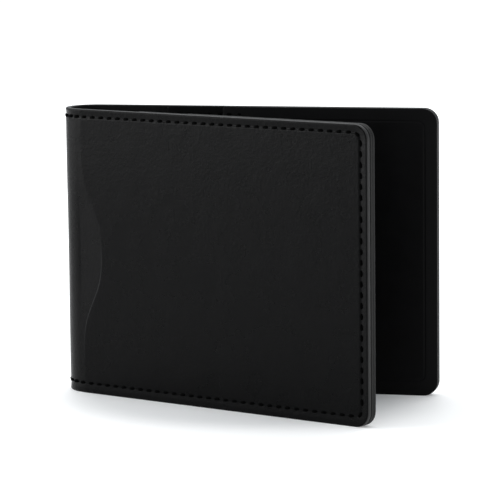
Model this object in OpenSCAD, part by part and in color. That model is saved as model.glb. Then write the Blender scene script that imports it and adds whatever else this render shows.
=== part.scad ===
// Bifold wallet, standing half open on its long bottom edges.
// The fold is at -X, the free edges are at +X, and the two halves mirror each other in Y.

/* [Wallet] */
// Height of the wallet, measured along the fold
wallet_h = 89; // [84:0.5:110]
// Length of each half, from the end of the fold to the free edge
half_len = 107.3; // [98:0.1:120]
// Angle between the two halves as the wallet stands
opening = 21.8; // [14:0.2:30]
// Radius of the rounded corners at the free edges
corner_r = 4.5; // [3.5:0.5:8]

/* [Fold] */
// Outer radius of the cover around the fold
fold_r = 9.1; // [8:0.1:12]
// Half the width of the slot between two bodies at a fold line
slot_half = 0.35; // [0.3:0.05:0.4]

/* [Leather] */
// Thickness of the outer cover
cover_t = 1.8; // [1.4:0.1:2]
// Thickness of the leather of one pocket
pocket_t = 1.2; // [0.8:0.1:1.4]
// Distance from the end of the fold to the mouth of the long pockets
long_mouth = 22; // [18:1:26]
// Distance from the end of the fold to the mouth of the short pockets
short_mouth = 40; // [34:1:60]

/* [Stitching] */
// Number of stitches from the middle of the spine to a free corner, half of one on the spine
stitches_along = 35.5; // [32.5:1:38.5]
// Number of stitches up a free edge, between its two corners
stitches_up = 25; // [22:1:27]
// Distance of the top and side rows of stitches from the leather's edge
inset = 2.4; // [2:0.1:3]
// Distance of the bottom row from the lower edge
bottom_inset = 3.2; // [2:0.1:4]
// Width of the thread
thread_w = 0.5; // [0.4:0.05:0.6]
// Thickness of the thread where it lies on the leather
thread_t = 0.4; // [0.3:0.05:0.5]
// How far the thread stands out of the leather
proud = 0.15; // [0.05:0.05:0.2]

/* [Hidden] */
$fn = 96;

half_open = opening / 2;                      // angle of each half to the middle plane
half_bend = 90 - half_open;                   // bend from the middle of the spine to one half
half_fold = fold_r * half_bend * PI / 180;    // the same bend as a length of the outer face
fold_line = 180 + half_bend / 2;              // direction of the front fold line
fold_end = 180 + half_bend;                   // direction where the fold meets the front half
bend_steps = 12;                              // flat strips that make a half's share of the fold
long_t = cover_t + pocket_t;                  // depth of the long pocket's inner face
full_t = long_t + pocket_t;                   // depth of the short pocket's, the innermost

row_end = half_len - corner_r;                // where a row starts to turn around a corner
corner_row_r = corner_r - inset;              // radius of the row around the corner
row_low = bottom_inset + corner_row_r;        // heights between which the side row is straight
row_high = wallet_h - corner_r;
pitch = (half_fold + row_end) / stitches_along;
pitch_up = (row_high - row_low) / stitches_up;
spine_stitches = 1.5;                         // stitches from the spine's middle to the last hole
first_hole = 2.5;                             // first hole of a half's row, beyond the slot
fold_stitches = half_fold / pitch;            // stitches from the spine's middle to the fold's end

// The origin is under the middle of the wallet, so the fold's centre is moved to -X
reach_back = fold_r + proud;
reach_front = half_len * cos(half_open) - (fold_r - full_t - proud) * sin(half_open);
fold_x = (reach_back - reach_front) / 2;

cover_colour = "#2b2b2b";
long_pocket_colour = "#363636";
short_pocket_colour = "#2b2b2b";
thread_colour = "#0c0c0c";

// Depth of the innermost face at a distance along a half
function stack(along) =
  cover_t + (along > long_mouth ? pocket_t : 0) + (along > short_mouth ? pocket_t : 0);

// Angle of a number of stitches around the fold
function around(stitches) = stitches * pitch / fold_r * 180 / PI;

module at_fold() translate([fold_x, 0, 0]) children();

// The frame of the front half: X runs to its free edge, and Y = -fold_r is its outer face
module at_front() at_fold() rotate([0, 0, -half_open]) children();

module at_rear() mirror([0, 1, 0]) children();

// ---- Leather ----

// A flat sheet between two depths from the outer face, with its two free corners rounded
module flat_sheet(from, outer, inner)
  translate([0, inner - fold_r, 0]) rotate([90, 0, 0]) linear_extrude(inner - outer) {
    translate([from, 0]) square([row_end - from, wallet_h]);
    translate([from, corner_r]) square([half_len - from, wallet_h - 2 * corner_r]);
    for (z = [corner_r, wallet_h - corner_r]) translate([row_end, z]) circle(corner_r);
  }

// Points around one half's share of the fold, from the slot's side to the fold's end
function bend_points(r) = let (from = fold_line + asin(slot_half / r))
  [for (i = [0 : bend_steps]) let (turn = from + (fold_end - from) * i / bend_steps)
    r * [cos(turn), sin(turn)]];

// The free edge's corner at one radius, straight on from the fold's end
function free_point(r) = r * [cos(fold_end), sin(fold_end)]
  + half_len * [cos(half_open), -sin(half_open)];

function reversed(points) = [for (i = [len(points) - 1 : -1 : 0]) points[i]];

// Half of the cover, bent around the fold and then flat: seen from above it is one closed outline
module front_cover() color(cover_colour) intersection() {
  at_fold() translate([0, 0, -1]) linear_extrude(wallet_h + 2) polygon(concat(
    bend_points(fold_r), [free_point(fold_r)],
    [free_point(fold_r - cover_t)], reversed(bend_points(fold_r - cover_t))));
  at_front() flat_sheet(-2 * fold_r, -fold_r, cover_t + fold_r);
}
module rear_cover() at_rear() front_cover();

// The middle of the cover, around the spine from one slot to the other
module spine_cover() color(cover_colour) at_fold() difference() {
  rotate([0, 0, -fold_line]) rotate_extrude(angle = 2 * fold_line - 360)
    translate([fold_r - cover_t, 0]) square([cover_t, wallet_h]);
  for (line = [fold_line, -fold_line]) rotate([0, 0, line])
    translate([0, -slot_half, -1]) cube([2 * fold_r, 2 * slot_half, wallet_h + 2]);
}

module front_long_pocket() color(long_pocket_colour)
  at_front() flat_sheet(long_mouth, cover_t, long_t);
module rear_long_pocket() at_rear() front_long_pocket();

module front_short_pocket() color(short_pocket_colour)
  at_front() flat_sheet(short_mouth, long_t, full_t);
module rear_short_pocket() at_rear() front_short_pocket();

// ---- Thread: each row is one strand on both faces, joined through every hole ----

// Section of one stitch between two holes, with X along the row and Y through the leather
module stitch(from, to, outer, inner) {
  for (face = [outer, inner - thread_t]) translate([from, face]) square([to - from, thread_t]);
  for (hole = [from, to]) translate([hole - thread_w / 2, outer])
    square([thread_w, inner - outer]);
}

// A row along the half at one height, through however many layers there are at each stitch
module row_along(height)
  translate([0, -fold_r, height - thread_w / 2]) linear_extrude(thread_w)
    for (i = [first_hole + floor(fold_stitches - first_hole) : stitches_along - 1]) {
      from = max(i * pitch - half_fold, 0);
      to = (i + 1) * pitch - half_fold;
      stitch(from, to, -proud, stack((from + to) / 2) + proud);
    }

// A row around the fold between two places, counted in stitches from the spine's middle
module row_around(first, last, height)
  translate([0, 0, height - thread_w / 2]) {
    for (r = [fold_r + proud - thread_t, fold_r - cover_t - proud])
      rotate([0, 0, 180 + around(first)]) rotate_extrude(angle = around(last - first))
        translate([r, 0]) square([thread_t, thread_w]);
    for (hole = [first : last]) rotate([0, 0, 180 + around(hole)])
      translate([fold_r - cover_t - proud, -thread_w / 2, 0])
        cube([cover_t + 2 * proud, thread_w, thread_w]);
  }

// One stitch that turns around a free corner, from a first direction
module row_corner(centre_z, first)
  translate([row_end, -fold_r, centre_z]) rotate([90, 0, 0]) rotate([0, 0, first])
    for (face = [proud - thread_t, -full_t - proud]) translate([0, 0, face])
      rotate_extrude(angle = 90) translate([corner_row_r - thread_w / 2, 0])
        square([thread_w, thread_t]);

module long_row(height) {
  at_front() row_along(height);
  at_fold() row_around(first_hole, fold_stitches, height);
}

module front_top_thread() color(thread_colour) {
  long_row(wallet_h - inset);
  at_front() row_corner(row_high, 0);
}
module rear_top_thread() at_rear() front_top_thread();

module front_bottom_thread() color(thread_colour) {
  long_row(bottom_inset);
  at_front() row_corner(row_low, -90);
}
module rear_bottom_thread() at_rear() front_bottom_thread();

module front_side_thread() color(thread_colour) at_front()
  translate([half_len - inset + thread_w / 2, -fold_r, row_low]) rotate([0, -90, 0])
    linear_extrude(thread_w) for (i = [0 : stitches_up - 1])
      stitch(i * pitch_up, (i + 1) * pitch_up, -proud, full_t + proud);
module rear_side_thread() at_rear() front_side_thread();

module spine_row(height) color(thread_colour)
  at_fold() row_around(-spine_stitches, spine_stitches, height);
module spine_top_thread() spine_row(wallet_h - inset);
module spine_bottom_thread() spine_row(bottom_inset);

front_cover();
spine_cover();
rear_cover();
front_long_pocket();
front_short_pocket();
rear_long_pocket();
rear_short_pocket();
front_top_thread();
front_side_thread();
front_bottom_thread();
rear_top_thread();
rear_side_thread();
rear_bottom_thread();
spine_top_thread();
spine_bottom_thread();
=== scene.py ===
import math
import random

import bpy
import numpy as np
from mathutils import Matrix, Vector


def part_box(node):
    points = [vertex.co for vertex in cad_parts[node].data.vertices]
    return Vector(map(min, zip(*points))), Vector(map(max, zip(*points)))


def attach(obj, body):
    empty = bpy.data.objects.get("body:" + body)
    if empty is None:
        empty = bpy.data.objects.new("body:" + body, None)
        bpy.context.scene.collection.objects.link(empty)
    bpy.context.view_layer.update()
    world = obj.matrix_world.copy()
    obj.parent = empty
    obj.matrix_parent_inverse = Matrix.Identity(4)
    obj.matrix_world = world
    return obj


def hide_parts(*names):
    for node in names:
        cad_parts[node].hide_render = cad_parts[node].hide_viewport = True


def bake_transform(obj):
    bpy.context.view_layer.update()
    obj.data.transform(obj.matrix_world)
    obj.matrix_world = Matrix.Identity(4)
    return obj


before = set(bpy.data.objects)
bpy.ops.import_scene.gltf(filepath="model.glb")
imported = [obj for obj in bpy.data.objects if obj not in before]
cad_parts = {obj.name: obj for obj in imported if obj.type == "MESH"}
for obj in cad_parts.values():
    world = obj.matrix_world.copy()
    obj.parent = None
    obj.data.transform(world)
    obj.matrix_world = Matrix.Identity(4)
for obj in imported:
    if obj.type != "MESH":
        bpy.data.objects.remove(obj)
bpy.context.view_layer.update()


# ---------------------------------------------------------------- Studio
# A pale table that runs on as a white backdrop, one large soft light above and behind the wallet and
# two smaller ones on the side of its fold, and a long lens that looks slightly down at it.

MM = 0.001
CAMERA_PLACE = (368.6 * MM, -789.2 * MM, 167.55 * MM)
CAMERA_YAW = math.radians(24.724)
CAMERA_PITCH = math.radians(7.936)
CAMERA_ROLL = math.radians(-0.635)
LENS_MM = 206.4
SENSOR_MM = 36.0
TABLE_SIZE = 6.0
WALLET_MIDDLE = (0.0, 0.0, 45 * MM)
BACKDROP_WHITE = (1.0, 1.0, 1.0, 1.0)
SURROUND_WHITE = (0.93, 0.97, 1.0, 1.0)
TABLE_WHITE = (0.92, 0.92, 0.92, 1.0)


class Value:
    """A socket of some nodes, so that shader maths reads as plain expressions."""

    def __init__(self, tree, socket):
        self.tree = tree
        self.socket = socket

    def maths(self, operation, *others, swap=False):
        """Adds a Math node on this value and others, in the other order if swapped."""
        node = self.tree.nodes.new("ShaderNodeMath")
        node.operation = operation
        terms = (*others, self) if swap else (self, *others)
        for socket, term in zip(node.inputs, terms):
            feed(self.tree, socket, term)
        return Value(self.tree, node.outputs[0])

    def __add__(self, other):
        return self.maths("ADD", other)

    def __radd__(self, other):
        return self.maths("ADD", other)

    def __sub__(self, other):
        return self.maths("SUBTRACT", other)

    def __rsub__(self, other):
        return self.maths("SUBTRACT", other, swap=True)

    def __mul__(self, other):
        return self.maths("MULTIPLY", other)

    def __rmul__(self, other):
        return self.maths("MULTIPLY", other)

    def __truediv__(self, other):
        return self.maths("DIVIDE", other)

    def __rtruediv__(self, other):
        return self.maths("DIVIDE", other, swap=True)

    def __pow__(self, other):
        return self.maths("POWER", other)

    def __rpow__(self, other):
        return self.maths("POWER", other, swap=True)

    def __neg__(self):
        return self.maths("MULTIPLY", -1.0)

    def __abs__(self):
        return self.maths("ABSOLUTE")

    def clamped(self):
        return self.maths("MINIMUM", 1.0).maths("MAXIMUM", 0.0)

    def bell(self, width):
        """One where this value is zero, falling smoothly to nothing on both sides."""
        share = self / width
        return (-(share * share)).maths("EXPONENT")


def feed(tree, socket, value):
    """Links a value to a socket, or sets it there."""
    if isinstance(value, Value):
        tree.links.new(value.socket, socket)
    else:
        socket.default_value = value


class Nodes:
    """The nodes of one material, or of the surroundings."""

    def __init__(self, tree):
        self.tree = tree

    def add(self, kind, output=0, inputs=(), stops=(), **settings):
        """Adds any node: its settings and a ramp's stops first, then its inputs. Gives one output."""
        node = self.tree.nodes.new(kind)
        for name, value in settings.items():
            setattr(node, name, value)
        if stops:
            ramp = node.color_ramp
            ramp.interpolation = "EASE"
            for position, grey in stops:
                ramp.elements.new(position).color = (grey, grey, grey, 1.0)
            ramp.elements.remove(ramp.elements[0])
            ramp.elements.remove(ramp.elements[-1])
        for name, value in dict(inputs).items():
            feed(self.tree, node.inputs[name], value)
        return node if output is None else Value(self.tree, node.outputs[output])


def soft_light(name, place, aim, width, height, watts):
    """A flat studio light that points at its aim."""
    lamp = bpy.data.lights.new(name, "AREA")
    lamp.shape = "RECTANGLE"
    lamp.size = width
    lamp.size_y = height
    lamp.energy = watts
    light = bpy.data.objects.new(name, lamp)
    light.location = place
    way = Vector(aim) - Vector(place)
    light.rotation_euler = way.to_track_quat("-Z", "Y").to_euler()
    bpy.context.scene.collection.objects.link(light)


camera_data = bpy.data.cameras.new("camera")
camera_data.lens = LENS_MM
camera_data.sensor_width = SENSOR_MM
camera_data.clip_end = 20.0
camera = bpy.data.objects.new("camera", camera_data)
camera.matrix_world = (
    Matrix.Translation(CAMERA_PLACE)
    @ Matrix.Rotation(CAMERA_YAW, 4, "Z")
    @ Matrix.Rotation(math.pi / 2 - CAMERA_PITCH, 4, "X")
    @ Matrix.Rotation(CAMERA_ROLL, 4, "Z")
)
bpy.context.scene.collection.objects.link(camera)
bpy.context.scene.camera = camera
bpy.context.scene.view_settings.view_transform = "Standard"

soft_light("top_light", place=(-0.1, 0.6, 1.25), aim=WALLET_MIDDLE, width=1.5, height=1.5, watts=11.0)
soft_light("left_light", place=(-1.3, -0.2, 0.6), aim=WALLET_MIDDLE, width=0.9, height=0.9, watts=2.0)
soft_light("front_light", place=(-0.70, -0.35, 0.32), aim=(0.0, 0.0, 0.1), width=0.6, height=0.5,
           watts=5.2)

# The camera sees plain white, while the wallet and the table are lit by a dimmer, cooler white
world = bpy.data.worlds.new("studio")
bpy.context.scene.world = world
world.use_nodes = True
studio = Nodes(world.node_tree)
studio.tree.nodes.clear()
surround = studio.add("ShaderNodeBackground", 0, {"Color": SURROUND_WHITE, "Strength": 0.74})
backdrop = studio.add("ShaderNodeBackground", 0, {"Color": BACKDROP_WHITE, "Strength": 1.05})
seen_by_camera = studio.add("ShaderNodeLightPath", "Is Camera Ray")
choice = studio.add("ShaderNodeMixShader", 0, {0: seen_by_camera, 1: surround, 2: backdrop})
studio.add("ShaderNodeOutputWorld", None, {"Surface": choice})

bpy.ops.object.select_all(action="DESELECT")
bpy.ops.mesh.primitive_plane_add(size=TABLE_SIZE, location=(0, 0, 0))
table = bpy.context.object
table.name = "table"
table_paint = bpy.data.materials.new("white table")
table_paint.use_nodes = True
paint = Nodes(table_paint.node_tree)
paint_inputs = paint.tree.nodes["Principled BSDF"].inputs
paint_inputs["Base Color"].default_value = TABLE_WHITE
paint_inputs["Roughness"].default_value = 0.5
paint_inputs["Specular IOR Level"].default_value = 0.2
paint_inputs["Emission Strength"].default_value = 1.0
# Away from the wallet the table glows by its own emission, a painted light: none close round the
# wallet, then rising in a long oval, so that the wallet's shadow stays narrow and the table meets the
# white backdrop
table_place = paint.add("ShaderNodeTexCoord", "Object")
oval_place = paint.add("ShaderNodeVectorMath", 0, {0: table_place, 1: (0.8, 1.0, 1.0)},
                       operation="MULTIPLY")
from_wallet = paint.add("ShaderNodeVectorMath", "Value", {0: oval_place}, operation="LENGTH")
painted_table_glow = paint.add("ShaderNodeValToRGB", "Color", {"Fac": from_wallet},
                 stops=((0.034, 0.0), (0.056, 0.24), (0.55, 0.45)))
feed(paint.tree, paint_inputs["Emission Color"], painted_table_glow)
table.data.materials.append(table_paint)


# ---------------------------------------------------------------- Cover
# One piece of smooth black leather 1.8 mm thick, cut flat with rounded corners, its edges rounded
# and burnished, a groove pressed for the thread, and then folded in the middle. It is modelled the
# same way: flat first, X along the leather from the middle of the spine, Y into it, Z up.

HALF_LENGTH = 107.3 * MM
OPENING = math.radians(21.8)
FOLD_RADIUS = 9.1 * MM
CORNER_RADIUS = 4.5 * MM
COVER_THICK = 1.8 * MM
COVER_EDGE_ROUND = 0.45 * MM
STITCH_INSET = 2.4 * MM
BOTTOM_INSET = 3.2 * MM
# Distances from the edge at which the face has a loop, close together where the groove runs
GROOVE_LOOPS = [loop * MM for loop in (0.6, 1.1, 1.6, 2.1, 2.4, 2.6, 2.85, 3.1, 3.3, 3.5, 3.8)]
# The line of the first bend, beside the fold on the front: heights, and distances past the fold
BEND_MIDDLE = 44.5 * MM
BEND_SPREAD = 17.6 * MM
BEND_REST = 1.5 * MM
BEND_BULGE = 7.4 * MM
BEND_SLOPE = 0.11
BEND_SOFTNESS = 0.12 * MM

fold_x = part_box("spine_cover")[0].x + FOLD_RADIUS
wallet_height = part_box("front_cover")[1].z
half_bend = (math.pi - OPENING) / 2
half_fold = FOLD_RADIUS * half_bend
reach = half_fold + HALF_LENGTH


def select_only(piece):
    bpy.ops.object.select_all(action="DESELECT")
    piece.select_set(True)
    bpy.context.view_layer.objects.active = piece


def start_editing(piece, mode="FACE"):
    """Selects one piece alone and opens it with nothing selected."""
    select_only(piece)
    bpy.ops.object.mode_set(mode="EDIT")
    bpy.ops.mesh.select_mode(type=mode)
    bpy.ops.mesh.select_all(action="DESELECT")


def done_editing():
    bpy.ops.object.mode_set(mode="OBJECT")


def apply_modifier(piece, kind, **settings):
    """Adds a modifier with its settings and applies it."""
    select_only(piece)
    modifier = piece.modifiers.new(kind.title(), kind)
    for name, value in settings.items():
        setattr(modifier, name, value)
    bpy.ops.object.modifier_apply(modifier=modifier.name)


def copy_of(piece, name):
    """A second piece of the same shape, with its own mesh."""
    copy = piece.copy()
    copy.data = piece.data.copy()
    copy.name = copy.data.name = name
    bpy.context.scene.collection.objects.link(copy)
    return copy


def points_of(piece):
    """The vertices' places as an array, to be moved and given back."""
    places = np.empty(len(piece.data.vertices) * 3)
    piece.data.vertices.foreach_get("co", places)
    return places.reshape(-1, 3)


def move_points(piece, places):
    piece.data.vertices.foreach_set("co", places.ravel())
    piece.data.update()


def cut_across(places, axis):
    """Cuts the open mesh right across at each place along one axis."""
    for place in places:
        bpy.ops.mesh.select_all(action="SELECT")
        bpy.ops.mesh.bisect(plane_co=Vector(axis) * place, plane_no=axis)


def cut_leather(name, low, high, radii, borders, thickness, columns, rows, edge_round):
    """A flat piece of leather, cut from a plane at Y = 0 and given its thickness towards +Y.

    Its corners are rounded by radii (low-X low-Z, high-X low-Z, high-X high-Z, low-X high-Z), its
    borders are inset loops, and columns and rows are further cuts across it.
    """
    bpy.ops.object.select_all(action="DESELECT")
    bpy.ops.mesh.primitive_plane_add(size=1.0, rotation=(math.pi / 2, 0, 0))
    piece = bpy.context.object
    piece.name = piece.data.name = name
    piece.scale = (high[0] - low[0], high[1] - low[1], 1.0)
    piece.location = ((low[0] + high[0]) / 2, 0.0, (low[1] + high[1]) / 2)
    bpy.ops.object.transform_apply(location=True, rotation=True, scale=True)
    corners = [(low[0], low[1]), (high[0], low[1]), (high[0], high[1]), (low[0], high[1])]
    for (x, z), radius in zip(corners, radii):
        start_editing(piece, "VERT")
        done_editing()
        for vertex in piece.data.vertices:
            off_corner = math.hypot(vertex.co.x - x, vertex.co.z - z)
            vertex.select = off_corner < 0.01 * MM
        bpy.ops.object.mode_set(mode="EDIT")
        bpy.ops.mesh.bevel(offset=radius, segments=8, profile=0.5, affect="VERTICES")
        done_editing()
    start_editing(piece)
    bpy.ops.mesh.select_all(action="SELECT")
    for outside, border in zip([0.0] + borders, borders):
        bpy.ops.mesh.inset(thickness=border - outside, depth=0.0)
    cut_across(columns, (1, 0, 0))
    cut_across(rows, (0, 0, 1))
    done_editing()
    apply_modifier(piece, "SOLIDIFY", thickness=thickness, offset=-1.0)
    apply_modifier(piece, "BEVEL", width=edge_round, segments=4, limit_method="ANGLE",
                   angle_limit=math.radians(60), use_clamp_overlap=False)
    return piece


def spread(first, last, step):
    """Evenly spaced places from first to last, about a step apart."""
    count = max(1, round((last - first) / step))
    return [first + (last - first) * i / count for i in range(count + 1)]


def border_distance(places, low, high, radius):
    """How far each point lies inside the outline of a round-cornered piece."""
    half = np.subtract(high, low) / 2
    middle = np.add(high, low) / 2
    past = np.abs(places[:, [0, 2]] - middle) - (half - radius)
    outside = np.hypot(*np.maximum(past, 0.0).T) + np.minimum(past.max(axis=1), 0.0)
    return radius - outside


def groove(inside, width, depth, rim):
    """A pressed line: sloping in from the rim to the line, then steeply up on its far side."""
    near_side = np.clip((inside - rim) / (STITCH_INSET - rim), 0.0, 1.0)
    far_side = np.exp(-((inside - STITCH_INSET) / width) ** 2)
    return depth * np.where(inside < STITCH_INSET, near_side, far_side)


def press(piece, thickness, front, back):
    """Moves the face into the leather by one amount and the back by another, at each point."""
    places = points_of(piece)
    share = np.clip(places[:, 1] / thickness, 0.0, 1.0)
    places[:, 1] += front * (1.0 - share) - back * share
    move_points(piece, places)


def keep_flat_places(piece):
    """Stores each point's place on the flat leather, in millimetres, for the materials to follow."""
    flat = piece.data.attributes.new("flat", "FLOAT_VECTOR", "POINT")
    flat.data.foreach_set("vector", (points_of(piece) / MM).ravel())


def fold(piece, depth):
    """Folds a flat piece that lies at a depth below the cover's face, around the spine."""
    places = points_of(piece)
    along = np.abs(places[:, 0])
    into = places[:, 1] + depth
    side = np.where(places[:, 0] < 0.0, 1.0, -1.0)
    turn = np.minimum(along / FOLD_RADIUS, half_bend)
    straight = np.maximum(along - half_fold, 0.0)
    x = fold_x - (FOLD_RADIUS - into) * np.cos(turn) + straight * math.sin(half_bend)
    y = (FOLD_RADIUS - into) * np.sin(turn) + straight * math.cos(half_bend)
    move_points(piece, np.column_stack([x, side * y, places[:, 2]]))


def split_at_spine(piece, front_name, rear_name):
    """Cuts a flat piece through the middle of the spine and closes both cuts."""
    halves = []
    for name, outward in ((front_name, 1.0), (rear_name, -1.0)):
        half = copy_of(piece, name)
        start_editing(half)
        bpy.ops.mesh.select_all(action="SELECT")
        bpy.ops.mesh.bisect(plane_co=(0, 0, 0), plane_no=(outward, 0, 0),
                            clear_inner=True, use_fill=True)
        done_editing()
        halves.append(half)
    bpy.data.objects.remove(piece)
    return halves


def bend_with_fold(piece, side):
    """Bakes the place of a piece that crosses a fold into its mesh; it is not made to bend between
    its half and the spine.
    """
    sign = -1.0 if side == "front" else 1.0
    end_of_fold = (fold_x - FOLD_RADIUS * math.cos(half_bend),
                   sign * FOLD_RADIUS * math.sin(half_bend), 0.0)
    side + "_half"
    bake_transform(piece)


def smooth(piece, degrees=40):
    select_only(piece)
    bpy.ops.object.shade_smooth_by_angle(angle=math.radians(degrees))


class Finish(Nodes):
    """A material of the wallet, with its main shader and the flat leather's coordinates."""

    def __init__(self, name, roughness, specular, sheen=0.0):
        self.material = bpy.data.materials.new(name)
        self.material.use_nodes = True
        super().__init__(self.material.node_tree)
        self.inputs = self.tree.nodes["Principled BSDF"].inputs
        self.inputs["Roughness"].default_value = roughness
        self.inputs["Specular IOR Level"].default_value = specular
        self.inputs["Sheen Weight"].default_value = sheen
        self.inputs["Sheen Roughness"].default_value = 0.6
        self.flat = self.add("ShaderNodeAttribute", "Vector", attribute_name="flat")
        parts = self.add("ShaderNodeSeparateXYZ", None, {0: self.flat})
        self.x = Value(self.tree, parts.outputs["X"])
        self.z = Value(self.tree, parts.outputs["Z"])

    def noise(self, scale, detail=3.0, stretch=None, roughness=0.55):
        """Soft noise on the flat leather, scale in features per millimetre."""
        place = self.flat
        if stretch:
            place = self.add("ShaderNodeVectorMath", 0, {0: self.flat, 1: stretch},
                             operation="MULTIPLY")
        return self.add("ShaderNodeTexNoise", "Fac", {"Vector": place, "Scale": scale,
                                                      "Detail": detail, "Roughness": roughness})

    def colour(self, factor, dark, light):
        """A colour between two, by a factor, into Base Color."""
        mix = self.add("ShaderNodeMix", None, {0: factor, 6: (*dark, 1.0), 7: (*light, 1.0)},
                       data_type="RGBA")
        self.tree.links.new(mix.outputs[2], self.inputs["Base Color"])

    def rough(self, value):
        feed(self.tree, self.inputs["Roughness"], value)

    def bump(self, height, distance):
        """Relief of a height, counted in steps of a distance in metres."""
        relief = self.add("ShaderNodeBump", "Normal", {"Height": height, "Distance": distance})
        feed(self.tree, self.inputs["Normal"], relief)


# Smooth waxed face: fine pores, a faint mottle and marks of handling. Along the line of the first
# bend a thin lighter line, a painted highlight, stands in the colour over a stretch of its height.
# The leather stands a little hollow along each half and crowned in its height, which the light shows
# as slow changes of shade.
# Middle height, spread in height and width of the painted highlight along the first bend, in
# millimetres
BEND_HIGHLIGHT_HEIGHT, BEND_HIGHLIGHT_SPREAD, BEND_HIGHLIGHT_WIDTH = 31.0, 14.0, 0.16
CROWN_MIDDLE, CROWN_REACH, CROWN_RISE = 50.0, 40.0, 30.0
HOLLOW_MIDDLE, HOLLOW_REACH, HOLLOW_DROP = 50.0, 50.0, 14.0
waxed = Finish("waxed black leather face", roughness=0.3, specular=0.057)
mottle = waxed.noise(0.12, 4.0)
pores = waxed.noise(0.9, 4.0, roughness=0.7)
handling = waxed.noise(0.035, 2.0)
grain = waxed.add("ShaderNodeTexVoronoi", "Distance", {"Vector": waxed.flat, "Scale": 1.6},
                  feature="F1")
past_fold_end = waxed.x - half_fold / MM
from_bend_middle = abs(waxed.z - BEND_MIDDLE / MM) / (BEND_SPREAD / MM)
bent_at = (-(from_bend_middle ** 3.0)).maths("EXPONENT") * (BEND_BULGE / MM) + BEND_REST / MM
# Painted highlight: a thin line along the first bend, lighter in the colour over a stretch of its
# height
bend_highlight = (past_fold_end - bent_at).bell(BEND_HIGHLIGHT_WIDTH) * (waxed.z - BEND_HIGHLIGHT_HEIGHT).bell(BEND_HIGHLIGHT_SPREAD)
waxed.colour((mottle * 0.6 + pores * 0.4) * 0.05 + bend_highlight * 0.6,
             (0.0004, 0.0004, 0.0005), (0.03, 0.03, 0.031))
waxed.rough(0.15 + mottle * 0.14 + handling * 0.12)
crown = ((waxed.z - CROWN_MIDDLE) / CROWN_REACH) ** 2.0 * -CROWN_RISE
along_half = abs(waxed.x) - half_fold / MM
hollow = ((along_half - HOLLOW_MIDDLE) / HOLLOW_REACH) ** 2.0 * HOLLOW_DROP
waxed.bump(pores * 2.4 + grain * 0.3 + mottle * 4.0 + crown + hollow, 0.00004)

# Bare flesh side: felted fibres, dull
flesh = Finish("bare flesh side", roughness=0.95, specular=0.06, sheen=0.03)
nap = flesh.noise(1.4, 6.0, roughness=0.75)
clumps = flesh.noise(0.5, 3.0)
flesh.colour((nap * 0.7 + clumps * 0.5 - 0.1).clamped(),
             (0.0015, 0.0015, 0.0015), (0.009, 0.0088, 0.0088))
flesh.bump(nap, 0.0003)

# Cut edge: dyed, rubbed smooth, with faint streaks along the layers of fibre
STREAK_STRETCH = (0.25, 3.0, 0.25)
burnished = Finish("burnished cut edge", roughness=0.4, specular=0.22)
streaks = burnished.noise(1.2, 4.0, stretch=STREAK_STRETCH)
burnished.colour(streaks, (0.004, 0.004, 0.004), (0.026, 0.0255, 0.025))
burnished.rough(0.34 + streaks * 0.25)
burnished.bump(streaks, 0.00012)


def dress(piece, face, back, edge, flat_enough=0.75):
    """Gives a flat piece its materials: on its face (towards -Y), its back and its cut edges."""
    for finish in (face, back, edge):
        piece.data.materials.append(finish.material)
    normals = np.empty(len(piece.data.polygons) * 3)
    piece.data.polygons.foreach_get("normal", normals)
    towards = normals.reshape(-1, 3)[:, 1]
    slots = np.where(towards < -flat_enough, 0, np.where(towards > flat_enough, 1, 2))
    piece.data.polygons.foreach_set("material_index", slots.astype(np.int32))


def first_bend(up):
    """How far past the fold's end the front first bent, at each height: a slow curve."""
    return BEND_REST + BEND_BULGE * np.exp(-(np.abs(up - BEND_MIDDLE) / BEND_SPREAD) ** 3)


# Cuts across lie 2 mm apart on the flat, closer around the fold and closest at the first bend
cover = cut_leather(
    "cover", (-reach, 0.0), (reach, wallet_height), (CORNER_RADIUS,) * 4,
    GROOVE_LOOPS, COVER_THICK,
    spread(-reach + 5 * MM, -14 * MM, 2 * MM) + spread(-13.5 * MM, half_fold, 0.5 * MM)
    + spread(half_fold + 0.2 * MM, half_fold + 12 * MM, 0.2 * MM)
    + spread(half_fold + 14 * MM, reach - 5 * MM, 2 * MM),
    spread(1.0 * MM, wallet_height - 1.0 * MM, 1.0 * MM), COVER_EDGE_ROUND)
keep_flat_places(cover)
dress(cover, waxed, flesh, burnished)

# The groove lies under the thread, so along the bottom it keeps as much further in as the thread
groove_low = (-reach, BOTTOM_INSET - STITCH_INSET)
groove_high = (reach, wallet_height)
inside = border_distance(points_of(cover), groove_low, groove_high, CORNER_RADIUS)
press(cover, COVER_THICK,
      front=groove(inside, width=0.3 * MM, depth=0.28 * MM, rim=0.5 * MM),
      back=groove(inside, width=0.4 * MM, depth=0.12 * MM, rim=0.5 * MM))

# The face dips from the line of the first bend towards the fold, and the dip dies out around it
places = points_of(cover)
past_fold = places[:, 0] - half_fold
before_bend = first_bend(places[:, 2]) - past_fold
dip = BEND_SLOPE * BEND_SOFTNESS * np.logaddexp(0.0, before_bend / BEND_SOFTNESS)
dip *= np.where(past_fold < 0.0, np.clip(places[:, 0] / half_fold, 0.0, 1.0) ** 2, 1.0)
places[:, 1] += dip
move_points(cover, places)

halves = split_at_spine(cover, "front_cover_leather", "rear_cover_leather")
for half, side in zip(halves, ("front", "rear")):
    fold(half, 0.0)
    smooth(half)
    bend_with_fold(half, side)
    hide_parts(side + "_cover", "spine_cover")


# ---------------------------------------------------------------- Card pockets
# Two pieces a side, laid on the cover's bare side with their mouths towards the fold, the short one
# on top. Its border is pressed thin outside a creased line, and the same rows of thread hold all.

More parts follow.
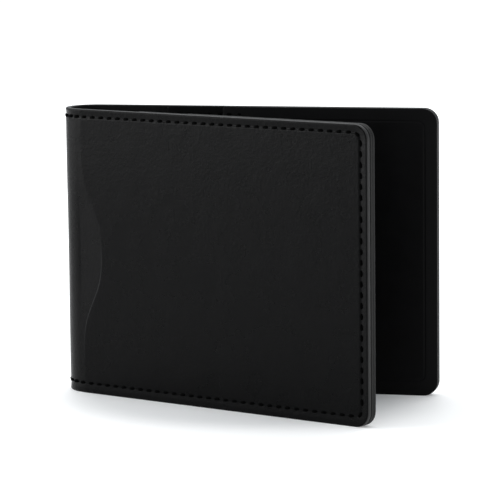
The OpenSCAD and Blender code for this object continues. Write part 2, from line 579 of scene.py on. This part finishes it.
POCKET_THICK = 1.2 * MM
POCKET_EDGE_ROUND = 0.14 * MM
LONG_MOUTH = 22 * MM
SHORT_MOUTH = 40 * MM
MOUTH_CORNER_RADIUS = 0.8 * MM
CREASE_INSET = 3.9 * MM
CREASE_DEPTH = 0.12 * MM
CREASE_WIDTH = 0.18 * MM
CREASE_RADIUS = CORNER_RADIUS + 1.5 * MM
BORDER_SLOPE = 0.11
SWELL = 0.38 * MM
SWELL_LENGTH = 10 * MM

pocket_leather = Finish("black pocket leather", roughness=0.5, specular=0.085)
pocket_grain = pocket_leather.noise(1.8, 4.0, roughness=0.7)
pocket_mottle = pocket_leather.noise(0.15, 3.0)
pocket_leather.colour(pocket_mottle, (0.0003, 0.0003, 0.0004), (0.0011, 0.0011, 0.0013))
pocket_leather.rough(0.4 + pocket_mottle * 0.15)
pocket_leather.bump(pocket_grain * 0.6 + pocket_mottle * 0.5, 0.00004)

# Cut edges of the thinner leather: dyed but left dull
dull_edge = Finish("dull cut edge", roughness=0.6, specular=0.17)
dull_streaks = dull_edge.noise(1.2, 4.0, stretch=STREAK_STRETCH)
dull_edge.colour(dull_streaks, (0.002, 0.002, 0.002), (0.015, 0.0145, 0.014))
dull_edge.bump(dull_streaks, 0.0001)


def opposite(piece, name):
    """The same flat piece turned over for the other half of the wallet."""
    twin = copy_of(piece, name)
    turned = points_of(twin)
    turned[:, 0] *= -1.0
    move_points(twin, turned)
    twin.data.flip_normals()
    return twin


def press_border(pocket, mouth):
    """Thins a pocket outside its creased line, and lets it swell inside, away from its mouth."""
    places = points_of(pocket)
    inside = border_distance(places, groove_low, groove_high, CREASE_RADIUS)
    thinned = BORDER_SLOPE * np.maximum(CREASE_INSET - inside, 0.0)
    crease = CREASE_DEPTH * np.exp(-((inside - CREASE_INSET) / CREASE_WIDTH) ** 2)
    swell = SWELL * np.clip((places[:, 0] - mouth) / SWELL_LENGTH, 0.0, 1.0)
    press(pocket, POCKET_THICK, front=0.0, back=thinned + crease - swell)


# Cuts lie close together only in the borders, where the leather is pressed
pocket_rows = (spread(0.6 * MM, 6 * MM, 0.2 * MM) + spread(8 * MM, wallet_height - 7 * MM, 4 * MM)
               + spread(wallet_height - 5.4 * MM, wallet_height - 0.6 * MM, 0.2 * MM))
for mouth, depth, kind in ((LONG_MOUTH, COVER_THICK, "long_pocket"),
                           (SHORT_MOUTH, COVER_THICK + POCKET_THICK, "short_pocket")):
    mouth_x = half_fold + mouth
    front = cut_leather(
        "front_" + kind + "_leather", (mouth_x, 0.0), (reach, wallet_height),
        (MOUTH_CORNER_RADIUS, CORNER_RADIUS, CORNER_RADIUS, MOUTH_CORNER_RADIUS), [], POCKET_THICK,
        spread(mouth_x + 3 * MM, reach - 6 * MM, 4 * MM)
        + spread(reach - 5 * MM, reach - 0.6 * MM, 0.2 * MM),
        pocket_rows, POCKET_EDGE_ROUND)
    keep_flat_places(front)
    dress(front, flesh, pocket_leather, dull_edge)
    if kind == "short_pocket":
        press_border(front, mouth_x)
    rear = opposite(front, "rear_" + kind + "_leather")
    for pocket, side in ((front, "front"), (rear, "rear")):
        fold(pocket, depth)
        smooth(pocket)
        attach(pocket, side + "_half")
        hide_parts(side + "_" + kind)


# ---------------------------------------------------------------- Thread
# Waxed black thread, saddle stitched by hand: the same dashes on both faces, a little slanted,
# each end sunk in its hole. The dashes are drawn wider than the thread and nearly without shine, a
# painted shade that also stands for the dark needle holes round each stitch. One stitch is modelled
# and laid along each row.

STITCHES_ALONG = 35.5
STITCHES_UP = 25
FOLD_STITCHES = 5
TOP_PITCH = 3.262 * MM
STITCH_LENGTH = 2.4 * MM
# Width of a dash: the thread together with the painted shade of the needle hole round it
THREAD_AND_HOLE_SHADE_WIDTH = 0.95 * MM
THREAD_FLATNESS = 0.8
END_TAPER = 0.45
END_DIVE = 0.5 * MM
THREAD_SUNK = 0.22 * MM
SLANT, SLANT_VARIES = 7.0, 2.5
SHORTEST, LONGEST = 0.94, 1.04
# Places along a half from the fold's end, and the height of the lowest stitch of the side row
FOLD_STITCHES_END = 2.89 * MM
TOP_ROW_END = 100.75 * MM
SIDE_ROW_START = 7.53 * MM

row_end = reach - CORNER_RADIUS
row_corner = CORNER_RADIUS - STITCH_INSET
row_low = BOTTOM_INSET + row_corner
row_high = wallet_height - CORNER_RADIUS
pitch = row_end / STITCHES_ALONG
pitch_up = (row_high - row_low) / STITCHES_UP
random.seed(11)

# Black, darker than the leather and almost without shine: the thread's own colour with painted shade
# of its needle holes
thread_with_hole_shade = Finish("waxed black thread", roughness=0.6, specular=0.01)
twist = thread_with_hole_shade.noise(4.0, 3.0)
thread_with_hole_shade.colour(twist, (0.0003, 0.0003, 0.0003), (0.0012, 0.0012, 0.0012))
thread_with_hole_shade.bump(twist, 0.00008)


def one_stitch():
    """A dash of thread along X whose ends dive into the leather (towards +Y)."""
    bpy.ops.object.select_all(action="DESELECT")
    bpy.ops.mesh.primitive_cylinder_add(vertices=8, radius=THREAD_AND_HOLE_SHADE_WIDTH / 2, depth=STITCH_LENGTH,
                                        end_fill_type="NGON", rotation=(0, math.pi / 2, 0))
    dash = bpy.context.object
    bpy.ops.object.transform_apply(location=True, rotation=True, scale=True)
    start_editing(dash)
    cut_across([share * STITCH_LENGTH for share in (-0.34, -0.17, 0.0, 0.17, 0.34)], (1, 0, 0))
    done_editing()
    shape = points_of(dash)
    along = np.abs(shape[:, 0]) / (STITCH_LENGTH / 2)
    shape[:, 1:] *= (1.0 - END_TAPER * along ** 4)[:, None]
    shape[:, 1] *= THREAD_FLATNESS
    shape[:, 1] += END_DIVE * along ** 3
    move_points(dash, shape)
    return dash


def lay_row(name, holes, pattern):
    """Copies the stitch to each place (X, Y, Z, angle, side of the leather) and joins them."""
    copies = []
    for x, y, z, angle, face in holes:
        copy = copy_of(pattern, "dash")
        slant = math.radians(SLANT + random.uniform(-SLANT_VARIES, SLANT_VARIES)) * face
        place = (Matrix.Translation((x, y, z)) @ Matrix.Rotation(-(angle + slant), 4, "Y")
                 @ Matrix.Diagonal((random.uniform(SHORTEST, LONGEST), face, 1.0, 1.0)))
        copy.data.transform(place)
        if face < 0:
            copy.data.flip_normals()
        copies.append(copy)
    select_only(copies[0])
    for copy in copies:
        copy.select_set(True)
    bpy.ops.object.join()
    row = bpy.context.object
    row.name = row.data.name = name
    keep_flat_places(row)
    row.data.materials.append(thread_with_hole_shade.material)
    return row


def inner_depth(x):
    """Depth of the innermost face at a place along the leather."""
    past = x - half_fold
    return COVER_THICK + POCKET_THICK * ((past > LONG_MOUTH) + (past > SHORT_MOUTH))


def both_faces(x, z, angle=0.0):
    """The two dashes of one stitch, on the cover's face and on the innermost face."""
    return [(x, THREAD_SUNK, z, angle, 1.0), (x, inner_depth(x) - THREAD_SUNK, z, angle, -1.0)]


def top_stitch_x(count):
    """Place of a top stitch: a few close ones around the fold, then an even row to its end."""
    if count < FOLD_STITCHES:
        return count * (half_fold + FOLD_STITCHES_END) / FOLD_STITCHES
    return half_fold + TOP_ROW_END - (int(STITCHES_ALONG) - count) * TOP_PITCH


stitch = one_stitch()
top_row, bottom_row, side_row = [], [], []
for i in range(int(STITCHES_ALONG) + 1):
    top_row += both_faces(top_stitch_x(i), wallet_height - STITCH_INSET)
    bottom_row += both_faces(i * pitch, BOTTOM_INSET)
for i in range(STITCHES_UP):
    side_row += both_faces(reach - STITCH_INSET, SIDE_ROW_START + i * pitch_up, math.pi / 2)

# One stitch turns each corner, a little flatter at the top
corner_x = row_end + row_corner * math.cos(math.pi / 4)
corner_rise = row_corner * math.sin(math.pi / 4)
top_row += both_faces(corner_x - 0.5 * MM, row_high + corner_rise + 0.1 * MM, -math.radians(35))
bottom_row += both_faces(corner_x, row_low - corner_rise, math.pi / 4)

for kind, holes in (("top", top_row), ("bottom", bottom_row), ("side", side_row)):
    front = lay_row("front_" + kind + "_stitches", holes, stitch)
    rear = opposite(front, "rear_" + kind + "_stitches")
    for row, side in ((front, "front"), (rear, "rear")):
        fold(row, 0.0)
        smooth(row, 60)
        if kind == "side":
            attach(row, side + "_half")
            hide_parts(side + "_side_thread")
        else:
            bend_with_fold(row, side)
            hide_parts(side + "_" + kind + "_thread", "spine_" + kind + "_thread")
bpy.data.objects.remove(stitch)
